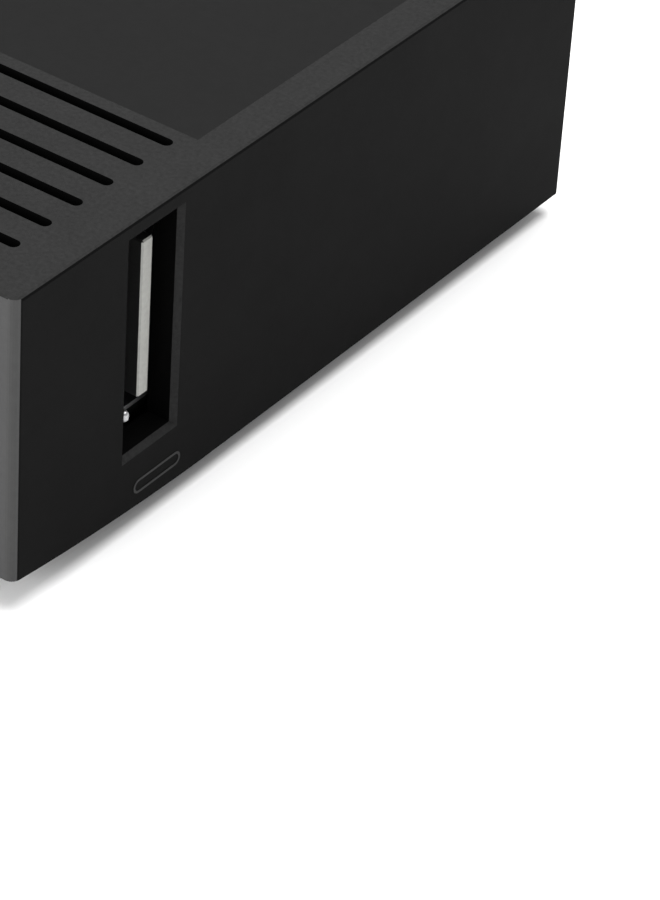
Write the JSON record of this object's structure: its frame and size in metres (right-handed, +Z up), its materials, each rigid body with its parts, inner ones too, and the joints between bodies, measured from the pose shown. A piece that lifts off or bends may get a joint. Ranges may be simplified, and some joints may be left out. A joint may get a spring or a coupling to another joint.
{
  "type": "game console with controller",
  "caption": "Compact set-top game console with vented top, inset panel and side socket, and a wireless two-grip gamepad with sticks, direction pad, keys and triggers.",
  "frame": {"origin": "centre of the overall box on the table plane, between the console (+X side) and the controller (-X side)", "axes": "+Z up, fronts face -Y, +X runs from the controller to the console"},
  "size_m": [0.285, 0.1104, 0.0442],
  "materials": {
    "rubber_black": "matte moulded rubber",
    "case_grained_black": "fine spark-grain moulding",
    "panel_smooth_black": "smooth satin gloss",
    "bezel_grey": "smooth satin moulding",
    "base_black": "light grain",
    "board_green": "solder mask on glass epoxy",
    "epoxy_black": "moulded epoxy",
    "heat_sink_aluminium": "extruded, clear anodised",
    "tongue_light_grey": "moulded liquid-crystal polymer",
    "nylon_black": "moulded nylon",
    "steel_plated": "nickel plated sheet",
    "light_pipe_clear": "clear acrylic, frosted end",
    "pad_shell_black": "fine grain",
    "battery_wrap_blue": "heat-shrink wrap",
    "soft_touch_black": "soft-touch rubber",
    "key_dark_grey": "smooth satin"
  },
  "bodies": {
    "console": {"top_case": "case_grained_black", "inset_panel": "panel_smooth_black", "front_bezel": "bezel_grey", "base_tray": "base_black", "main_board": "board_green", "processor": "epoxy_black", "heat_sink": "heat_sink_aluminium", "radio_module": "steel_plated", "usb_socket_shell": "steel_plated", "usb_socket_tongue": "tongue_light_grey", "hdmi_socket_shell": "steel_plated", "hdmi_socket_tongue": "nylon_black", "power_socket_shell": "steel_plated", "power_socket_tongue": "nylon_black", "power_switch": "epoxy_black", "light_pipe": "light_pipe_clear", "foot_1": "rubber_black", "foot_2": "rubber_black", "foot_3": "rubber_black", "foot_4": "rubber_black", "case_screw_1": "steel_plated", "case_screw_2": "steel_plated", "case_screw_3": "steel_plated", "case_screw_4": "steel_plated"},
    "controller": {"pad_upper_shell": "pad_shell_black", "pad_lower_shell": "pad_shell_black", "pad_board": "board_green", "pad_battery": "battery_wrap_blue", "pad_charge_socket": "steel_plated", "stick_base_right": "nylon_black", "rumble_motor_right": "steel_plated", "stick_base_left": "nylon_black", "rumble_motor_left": "steel_plated", "key_membrane_right": "rubber_black", "key_membrane_left": "rubber_black"},
    "power_button_body": {"power_button": "bezel_grey"},
    "stick_yoke_right_body": {"stick_yoke_right": "nylon_black"},
    "stick_shaft_right_body": {"stick_shaft_right": "nylon_black"},
    "stick_cap_right_body": {"stick_cap_right": "soft_touch_black"},
    "bumper_right_body": {"bumper_right": "key_dark_grey"},
    "trigger_right_body": {"trigger_right": "key_dark_grey"},
    "rumble_weight_right_body": {"rumble_weight_right": "steel_plated"},
    "start_button_body": {"start_button": "key_dark_grey"},
    "stick_yoke_left_body": {"stick_yoke_left": "nylon_black"},
    "stick_shaft_left_body": {"stick_shaft_left": "nylon_black"},
    "stick_cap_left_body": {"stick_cap_left": "soft_touch_black"},
    "bumper_left_body": {"bumper_left": "key_dark_grey"},
    "trigger_left_body": {"trigger_left": "key_dark_grey"},
    "rumble_weight_left_body": {"rumble_weight_left": "steel_plated"},
    "select_button_body": {"select_button": "key_dark_grey"},
    "direction_pad_body": {"direction_pad": "key_dark_grey"},
    "direction_pivot_body": {"direction_pivot": "nylon_black"},
    "face_button_south_body": {"face_button_south": "key_dark_grey"},
    "face_button_east_body": {"face_button_east": "key_dark_grey"},
    "face_button_north_body": {"face_button_north": "key_dark_grey"},
    "face_button_west_body": {"face_button_west": "key_dark_grey"},
    "home_button_body": {"home_button": "key_dark_grey"}
  },
  "joints": [
    {"name": "power_button_press", "type": "slide", "parent": "console", "child": "power_button_body", "axis": [0, 1, 0], "range_m": [0, 0.0006], "stiffness_N_per_m": 500},
    {"name": "controller_lift", "type": "slide", "parent": "console", "child": "controller", "axis": [0, 0, 1], "range_m": [0, 0.12]},
    {"name": "stick_right_tilt_y", "type": "hinge", "parent": "controller", "child": "stick_yoke_right_body", "pos_m": [-0.0475, -0.00358, 0.02403], "axis": [1, 0, 0], "range_deg": [-15, 15], "stiffness_Nm_per_rad": 0.03},
    {"name": "stick_right_tilt_x", "type": "hinge", "parent": "stick_yoke_right_body", "child": "stick_shaft_right_body", "pos_m": [-0.0475, -0.00358, 0.02403], "axis": [0, 1, 0], "range_deg": [-15, 15], "stiffness_Nm_per_rad": 0.03},
    {"name": "stick_right_click", "type": "slide", "parent": "stick_shaft_right_body", "child": "stick_cap_right_body", "axis": [0, 0, -1], "range_m": [0, 0.0004], "stiffness_N_per_m": 1200},
    {"name": "trigger_right_pull", "type": "hinge", "parent": "controller", "child": "trigger_right_body", "pos_m": [-0.022, 0.03942, 0.01853], "axis": [-1, 0, 0], "range_deg": [0, 16], "stiffness_Nm_per_rad": 0.12},
    {"name": "bumper_right_press", "type": "hinge", "parent": "controller", "child": "bumper_right_body", "pos_m": [-0.0359, 0.03992, 0.02503], "axis": [0, 0, -1], "range_deg": [0, 2.2], "stiffness_Nm_per_rad": 1.5},
    {"name": "rumble_right_spin", "type": "hinge", "parent": "controller", "child": "rumble_weight_right_body", "pos_m": [-0.0165, -0.02558, 0.01553], "axis": [1, 0, 0], "continuous": true},
    {"name": "stick_left_tilt_y", "type": "hinge", "parent": "controller", "child": "stick_yoke_left_body", "pos_m": [-0.0875, -0.00358, 0.02403], "axis": [1, 0, 0], "range_deg": [-15, 15], "stiffness_Nm_per_rad": 0.03},
    {"name": "stick_left_tilt_x", "type": "hinge", "parent": "stick_yoke_left_body", "child": "stick_shaft_left_body", "pos_m": [-0.0875, -0.00358, 0.02403], "axis": [0, 1, 0], "range_deg": [-15, 15], "stiffness_Nm_per_rad": 0.03},
    {"name": "stick_left_click", "type": "slide", "parent": "stick_shaft_left_body", "child": "stick_cap_left_body", "axis": [0, 0, -1], "range_m": [0, 0.0004], "stiffness_N_per_m": 1200},
    {"name": "trigger_left_pull", "type": "hinge", "parent": "controller", "child": "trigger_left_body", "pos_m": [-0.113, 0.03942, 0.01853], "axis": [-1, 0, 0], "range_deg": [0, 16], "stiffness_Nm_per_rad": 0.12},
    {"name": "bumper_left_press", "type": "hinge", "parent": "controller", "child": "bumper_left_body", "pos_m": [-0.0991, 0.03992, 0.02503], "axis": [0, 0, 1], "range_deg": [0, 2.2], "stiffness_Nm_per_rad": 1.5},
    {"name": "rumble_left_spin", "type": "hinge", "parent": "controller", "child": "rumble_weight_left_body", "pos_m": [-0.1185, -0.02558, 0.01553], "axis": [1, 0, 0], "continuous": true},
    {"name": "direction_pad_tilt_y", "type": "hinge", "parent": "controller", "child": "direction_pivot_body", "pos_m": [-0.1115, 0.01842, 0.02853], "axis": [1, 0, 0], "range_deg": [-4.5, 4.5], "stiffness_Nm_per_rad": 0.2},
    {"name": "direction_pad_tilt_x", "type": "hinge", "parent": "direction_pivot_body", "child": "direction_pad_body", "pos_m": [-0.1115, 0.01842, 0.02853], "axis": [0, 1, 0], "range_deg": [-4.5, 4.5], "stiffness_Nm_per_rad": 0.2},
    {"name": "face_button_south_press", "type": "slide", "parent": "controller", "child": "face_button_south_body", "axis": [0, 0, -1], "range_m": [0, 0.0013], "stiffness_N_per_m": 350},
    {"name": "face_button_east_press", "type": "slide", "parent": "controller", "child": "face_button_east_body", "axis": [0, 0, -1], "range_m": [0, 0.0013], "stiffness_N_per_m": 350},
    {"name": "face_button_north_press", "type": "slide", "parent": "controller", "child": "face_button_north_body", "axis": [0, 0, -1], "range_m": [0, 0.0013], "stiffness_N_per_m": 350},
    {"name": "face_button_west_press", "type": "slide", "parent": "controller", "child": "face_button_west_body", "axis": [0, 0, -1], "range_m": [0, 0.0013], "stiffness_N_per_m": 350},
    {"name": "start_button_press", "type": "slide", "parent": "controller", "child": "start_button_body", "axis": [0, 0, -1], "range_m": [0, 0.0008], "stiffness_N_per_m": 500},
    {"name": "select_button_press", "type": "slide", "parent": "controller", "child": "select_button_body", "axis": [0, 0, -1], "range_m": [0, 0.0008], "stiffness_N_per_m": 500},
    {"name": "home_button_press", "type": "slide", "parent": "controller", "child": "home_button_body", "axis": [0, 0, -1], "range_m": [0, 0.0008], "stiffness_N_per_m": 500}
  ]
}
